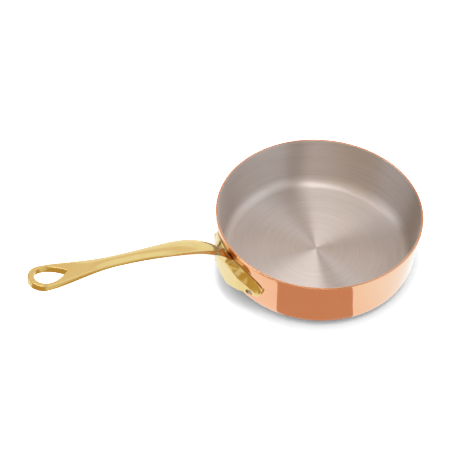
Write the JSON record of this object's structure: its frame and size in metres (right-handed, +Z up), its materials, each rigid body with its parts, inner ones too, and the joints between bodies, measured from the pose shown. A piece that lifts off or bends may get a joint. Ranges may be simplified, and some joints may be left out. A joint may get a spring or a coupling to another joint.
{
  "type": "saute pan",
  "caption": "Round straight-sided copper saute pan, steel lined, with a long rising cast brass handle riveted to its wall and ending in a hanging eye.",
  "frame": {"origin": "centre of the pan's flat underside, where it stands on the hob", "axes": "+Z up out of the pan; the handle runs out along -X and rises; +Y across the handle"},
  "size_m": [0.3928, 0.2, 0.1266],
  "materials": {
    "copper": "polished copper",
    "lining": "brushed in circles",
    "cast_brass": "polished cast brass",
    "rivet": "satin"
  },
  "bodies": {
    "root": {"copper_body": "copper", "steel_lining": "lining", "brass_handle": "cast_brass", "rivet_right": "rivet", "rivet_left": "rivet"}
  },
  "joints": []
}
